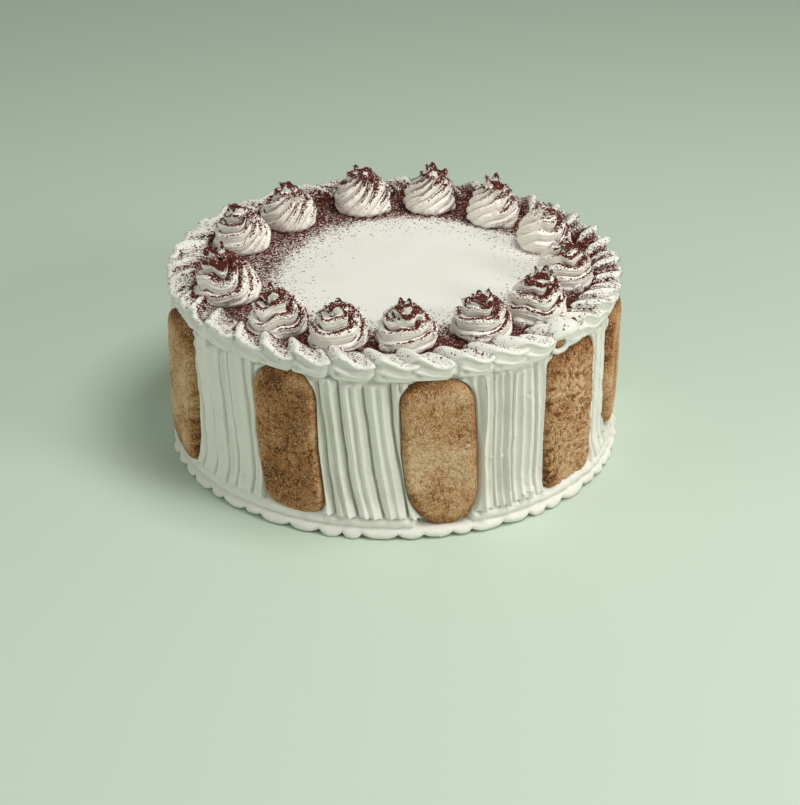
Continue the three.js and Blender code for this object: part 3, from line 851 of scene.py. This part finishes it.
def pipe_swirl(number):
    azimuth, distance, radius, tall, lean_out, lean_right = SWIRLS[number]
    rng = np.random.default_rng(200 + number)
    turn = np.arange(SWIRL_COLUMNS) * 2 * math.pi / SWIRL_COLUMNS
    line = smooth_line(np.array(SWIRL_PROFILE) * (radius, tall), SWIRL_ROWS)
    width, height = line[:, :1], line[:, 1:]
    up = height / tall
    from_flat = turn + math.radians(24) + rng.uniform(-0.25, 0.25)
    steep = RIDGES / (2 * math.pi) - FLAT_RIDGES
    waves = 1.5 * np.sin(from_flat) - 0.3 * np.sin(2 * from_flat) + np.sin(3 * from_flat) / 30
    passed = (FLAT_RIDGES + steep) * from_flat - steep * waves
    wobble = 0.16 * np.sin(2 * turn + rng.uniform(0, 6))
    wobble = wobble + 0.08 * np.sin(5 * turn + rng.uniform(0, 6))
    band = BAND * rng.uniform(0.85, 1.12)
    phase = height / band - passed[None] + rng.uniform(0, 1) + wobble[None]
    where = np.broadcast_arrays(radius * np.cos(turn), radius * np.sin(turn), height)
    where = np.stack(where, -1)
    phase += 0.10 * lumps(where, 6, 70 + number) + 0.22 * lumps(where, 11, 75 + number)
    rung = np.floor(phase)
    part = phase - rung
    strong = 1 + 0.5 * lumps(where, 9, 80 + number) + 0.3 * np.sin(2.4 * rung + number)
    strong = strong + 0.25 * lumps(where, 2.5, 85) + 0.5 * ease(0.2, -0.9, np.cos(turn))
    strong = np.clip(strong, 0.3, 2.0)
    here = np.interp(height + (0.5 - part) * band, line[:, 1], line[:, 0])
    above = np.interp(height + (1.5 - part) * band, line[:, 1], line[:, 0])
    swell = np.sin(math.pi * np.clip(part / 1.1, 0, 1)) ** 0.7 - 0.45
    below_lip = here + 1.2 * LIP * strong * swell
    over_lip = above - 0.55 * LIP * strong
    rolled = np.clip((part - 0.60) / 0.38, 0, 1) ** 2.6
    reach = below_lip + (over_lip - below_lip) * rolled - 1.3 * ease(0.08, 0.0, up)
    blend = ease(0.86, 0.79, up)
    reach = width + (reach - width) * blend
    reach = reach + 0.16 * np.cos(2 * math.pi * 3 * part) * ease(1, 6, width)
    x = reach * np.cos(turn) + lean_out * up ** 2
    y = reach * np.sin(turn) + lean_right * up ** 2
    dip = ease(0.90, 1.0, part) + ease(0.12, 0.0, part)
    curl_up = LIP * strong * (0.45 * np.exp(-(((part - 0.80) / 0.14) ** 2)) - 0.8 * dip)
    z = height + curl_up * blend * ease(0.0, 2.5, height)
    local = np.stack([x, y, z], -1)
    rough = 0.35 * lumps(local, 8, 50 + number) + 0.2 * lumps(local, 2.6, 60 + number)
    rough = rough * ease(0, 4, width)
    local[..., 0] += rough * np.cos(turn)
    local[..., 1] += rough * np.sin(turn)
    skins = [skin(swirl_place(local, azimuth, distance), capped=True)]
    # The groove is the crease where one band meets the next. The cocoa laid there is partly real
    # powder and partly painted shade in the crease.
    groove = np.maximum(ease(0.90, 0.96, part), ease(0.07, 0.02, part)) * ease(0.88, 0.82, up)
    groove = groove * ease(-0.5, 0.35, lumps(where, 6, 88 + number))
    groove = groove * (0.55 + 0.45 * ease(-0.5, 0.6, np.cos(turn)))
    first = rng.uniform(-1.4, -0.6)
    for petal in range(4):
        heading = first + petal * 1.5 + rng.uniform(-0.3, 0.3)
        skins.append(curl_petal(number, heading, petal == 0, rng))
    for lobe in range(3):
        skins.append(foot_lobe(number, -1.7 + 0.9 * lobe + rng.uniform(-0.4, 0.4), rng))
    name = f"swirl_{number + 1:02d}"
    node = f"cream_swirl_{number + 1:02d}"
    piece = make_piece(name, skins, SWIRL_CREAM, "piped_cream", node)
    hold = np.zeros(len(piece.data.vertices), np.float32)
    hold[: groove.size] = groove.ravel()
    piece.data.attributes.new("groove", "FLOAT", "POINT").data.foreach_set("value", hold)


def swirl_place(local, azimuth, distance):
    """Points given outwards, rightwards and up from the foot of a swirl, set on the cake."""
    out, right, height = np.moveaxis(local, -1, 0)
    return set_round(out + distance, right, height + CAKE_HEIGHT - SWIRL_SUNK, azimuth)


def turned_out(out, side, rise, heading):
    """Points given outwards and sideways from a swirl's axis, turned to their heading."""
    x = out * math.cos(heading) - side * math.sin(heading)
    y = out * math.sin(heading) + side * math.cos(heading)
    return np.stack([x, y, rise + 0 * x], -1)


def curl_petal(number, heading, broad, rng):
    """A tongue of cream at the tip: it rises, leans out and narrows to a thin round end."""
    azimuth, distance, _, tall, lean_out, lean_right = SWIRLS[number]
    turn = np.arange(24) * 2 * math.pi / 24
    along = np.linspace(0, 1, 18)[:, None]
    length = tall * rng.uniform(0.24, 0.33) * (0.8 if broad else 1.0)
    lean = rng.uniform(0.05, 0.35) + 0.5 * broad
    girth = (4.4 if broad else rng.uniform(2.4, 3.0)) * (1 - along ** 2.2) ** 0.65 + 0.05
    girth = girth * (0.7 + 0.3 * ease(0, 0.4, along))
    out = (2.6 if broad else 2.4) + length * math.sin(lean) * along + 0.6 * np.sin(2.6 * along)
    rise = 0.72 * tall + length * math.cos(lean) * along
    side = girth * np.sin(turn)[None]
    hollow = 0.30 if broad else -0.28
    thick = 0.38 * girth * np.cos(turn)[None] + hollow * side ** 2 / (girth + 0.5)
    local = turned_out(out + thick, side, rise, heading)
    local += 0.3 * lumps(local, 2.2, 65 + number)[..., None]
    local += (lean_out, lean_right, 0)
    return skin(swirl_place(local, azimuth, distance), capped=True)


def foot_lobe(number, heading, rng):
    """A rounded lobe where the cream first touched down, at the foot of a swirl."""
    azimuth, distance, radius = SWIRLS[number][:3]
    turn = np.arange(20) * 2 * math.pi / 20
    lift = np.linspace(-1.5, 1.5, 13)[:, None]
    wide, high, deep = rng.uniform(3.2, 4.6), rng.uniform(2.6, 3.6), rng.uniform(2.0, 2.8)
    side = wide * np.cos(lift) * np.sin(turn)[None]
    out = radius * 0.93 + deep * np.cos(lift) * np.cos(turn)[None]
    rise = 1.6 + high * np.sin(lift) + 0 * side
    local = turned_out(out, side, rise, heading)
    return skin(swirl_place(local, azimuth, distance), capped=True)


# The swirls' cream carries painted light: it is brighter and pinker than the other cream.
SWIRL_CREAM = whipped_cream("swirl_cream", 0.45, 900.0, SWIRL_LIGHT, SWIRL_SHADE)
for number in range(len(SWIRLS)):
    pipe_swirl(number)

# ---------------------------------------------------------------------------------------------
# The cocoa: dry powder shaken through a sieve over the ring of swirls, slanting a little from
# the right. It lies on what faces up and is open to the sky, thickest behind the top edge, and
# fades out over the top. Loose grains stand on it.
FALL_LEAN = (-0.13, 0.02)  # how far the powder drifts for each millimetre that it falls
SKY_CELL = 0.6
SKY_HALF = 180.0
GRAINS = 47000
# azimuth, how far out the powder starts, and how much of it lies on the top edge
SIEVE = [
    (-150, 68, 0.75),
    (-120, 62, 0.40),
    (-90, 66, 0.45),
    (-60, 78, 0.70),
    (-30, 81, 0.42),
    (0, 81, 0.12),
    (30, 82, 0.10),
    (60, 86, 0.35),
    (90, 90, 0.85),
    (120, 86, 0.95),
    (150, 79, 1.0),
    (180, 74, 0.9),
]
GRAIN_SIZE = (0.20, 0.42)
MOST_ON_COAT = 0.82  # the largest share of the cream that powder covers
MOST_ON_PIPED = 0.93


def landing(points):
    """Where powder that lands on each point would pass through the level of the table."""
    x = points[..., 0] + FALL_LEAN[0] * points[..., 2]
    y = points[..., 1] + FALL_LEAN[1] * points[..., 2]
    return x, y


def sky_cell(points):
    x, y = landing(points)
    columns = int(2 * SKY_HALF / SKY_CELL)
    i = np.clip(((x + SKY_HALF) / SKY_CELL).astype(int), 1, columns - 2)
    j = np.clip(((y + SKY_HALF) / SKY_CELL).astype(int), 1, columns - 2)
    return i, j


def mesh_points(piece):
    count = len(piece.data.vertices)
    points = np.empty(count * 3, np.float32)
    facing = np.empty(count * 3, np.float32)
    piece.data.vertices.foreach_get("co", points)
    piece.data.vertices.foreach_get("normal", facing)
    return points.reshape(-1, 3) / MM, facing.reshape(-1, 3)


def powder_at(points):
    """How much powder falls at each point round the cake."""
    distance = np.hypot(points[..., 0], points[..., 1])
    azimuth = np.degrees(np.arctan2(points[..., 0], -points[..., 1]))
    places, inner, outer = np.array(SIEVE).T
    start = np.interp(azimuth, places, inner, period=360)
    beyond = np.interp(azimuth, places, outer, period=360)
    inside = ease(start - 12, start + 9, distance) ** 1.5
    haze = 0.03 * ease(start - 38, start, distance)
    flat = np.stack([points[..., 0], points[..., 1], 0 * distance], -1)
    patches = 1 + 0.5 * lumps(flat, 15, 90) + 0.3 * lumps(flat, 6, 91)
    thick = (0.62 + 0.90 * ease(86, 97, distance)) * ease(111, 106, distance)
    edge = np.maximum(thick, beyond * ease(127, 115, distance))
    return np.clip(inside * edge * patches + haze * (distance < 100), 0, 1.6)


def dust(pieces):
    size = int(2 * SKY_HALF / SKY_CELL)
    sky = np.full((size, size), -1.0)
    seen = {piece.name: mesh_points(piece) for piece in pieces}
    for points, _ in seen.values():
        i, j = sky_cell(points)
        np.maximum.at(sky, (i, j), points[:, 2])
    spread = sky.copy()
    for shift in itertools.product((-1, 0, 1), repeat=2):
        lower = 0.5 * (abs(shift[0]) + abs(shift[1]))
        spread = np.maximum(spread, np.roll(sky, shift, (0, 1)) - lower)
    nearby = list(itertools.product(range(-4, 5), repeat=2))
    around_it = sum(np.roll(spread, shift, (0, 1)) for shift in nearby) / len(nearby)
    fall = np.array([FALL_LEAN[0], FALL_LEAN[1], -1.0])
    fall /= np.linalg.norm(fall)
    for piece in pieces:
        points, facing = seen[piece.name]
        i, j = sky_cell(points)
        open_sky = ease(1.6, 0.5, spread[i, j] - points[:, 2])
        catch = np.clip(-(facing @ fall), 0, 1)
        settle = ease(0.15, 0.75, catch)
        if piece.name.startswith("swirl"):
            crown = ease(-0.25, 0.35, -(facing @ fall)) * ease(114.5, 118, points[:, 2])
            settle = np.maximum(ease(0.42, 0.85, catch), crown)
        sunk = around_it[i, j] - points[:, 2]
        if piece.name == "cream_coat":
            hollow = np.clip(1 + 0.12 * sunk, 1, 1.8)
            open_sky = 1.0
        elif piece.name == "top_edge":
            inner = ease(117, 110, np.hypot(points[:, 0], points[:, 1]))
            hollow = np.clip(0.22 + 1.2 * sunk + 0.35 * inner, 0.05, 4)
        else:
            hollow = np.clip(0.40 + 0.6 * sunk, 0.10 + 1.0 * ease(113, 118, points[:, 2]), 1.6)
        falls = powder_at(points)
        amount = falls * open_sky * settle * hollow
        # On the swirls, cocoa is laid down in the grooves even under the lips. This is partly real
        # powder caught there and partly painted shade.
        if "groove" in piece.data.attributes:
            groove = np.empty(len(points), np.float32)
            piece.data.attributes["groove"].data.foreach_get("value", groove)
            amount += 3.2 * groove * falls * ease(-0.1, 0.4, -(facing @ fall))
        most = MOST_ON_COAT if piece.name == "cream_coat" else MOST_ON_PIPED
        cover = most * (1 - np.exp(-1.9 * amount))
        field = piece.data.attributes.new("cocoa", "FLOAT", "POINT")
        field.data.foreach_set("value", cover.astype(np.float32))
    return spread


def scatter_grains(sky):
    rng = np.random.default_rng(300)
    shots = GRAINS * 9
    distance = np.sqrt(rng.uniform(50.0**2, 128.0**2, shots))
    azimuth = rng.uniform(0, 360, shots)
    ground = around(distance, azimuth, 0 * distance)
    ground[:, 2] = CAKE_HEIGHT
    i, j = sky_cell(ground)
    level = sky[i, j]
    cell_x = (i + rng.uniform(0, 1, shots)) * SKY_CELL - SKY_HALF
    cell_y = (j + rng.uniform(0, 1, shots)) * SKY_CELL - SKY_HALF
    points = np.stack([cell_x - FALL_LEAN[0] * level, cell_y - FALL_LEAN[1] * level, level], -1)
    chance = powder_at(points) * (level > 60) * np.where(level > CAKE_HEIGHT + 5, 0.15, 1)
    keep = np.flatnonzero(rng.uniform(0, 1.3, shots) < chance)[:GRAINS]
    points = points[keep]
    corners = np.array([(1, 1, 1), (1, -1, -1), (-1, 1, -1), (-1, -1, 1)]) / math.sqrt(3)
    count = len(points)
    spin = rng.normal(size=(count, 3, 3))
    spin, _ = np.linalg.qr(spin)
    spin *= np.sign(np.linalg.det(spin))[:, None, None]
    size = rng.uniform(*GRAIN_SIZE, count)[:, None, None]
    stretch = rng.uniform(0.7, 1.3, (count, 4, 1))
    vertices = points[:, None] + (corners[None] @ spin) * size * stretch
    vertices = vertices.reshape(-1, 3)
    sides = np.array([(0, 1, 2), (0, 3, 1), (0, 2, 3), (1, 3, 2)])
    faces = (np.arange(count)[:, None, None] * 4 + sides[None]).reshape(-1, 3).tolist()
    make_piece("cocoa_grains", [(vertices, faces)], COCOA, "cocoa")


def cocoa_powder():
    finish = bpy.data.materials.new("cocoa_powder")
    finish.use_nodes = True
    add = node_maker(finish)
    shader = finish.node_tree.nodes["Principled BSDF"]
    place = add("TexCoord").outputs["Object"]
    tone = add("TexNoise", Vector=place, Scale=900.0, Detail=3.0).outputs[0]
    colour = add("MixRGB", _0=tone, _1=(*COCOA_DARK, 1), _2=(*COCOA_LIGHT, 1)).outputs[0]
    finish.node_tree.links.new(colour, shader.inputs["Base Color"])
    shader.inputs["Roughness"].default_value = 0.95
    shader.inputs["Specular IOR Level"].default_value = 0.15
    return finish


COCOA = cocoa_powder()
UNDER_THE_SIEVE = ("cream_coat", "top_edge", "swirl_")
dusted = [thing for thing in bpy.data.objects if thing.name.startswith(UNDER_THE_SIEVE)]
sky = dust(dusted)
scatter_grains(sky)
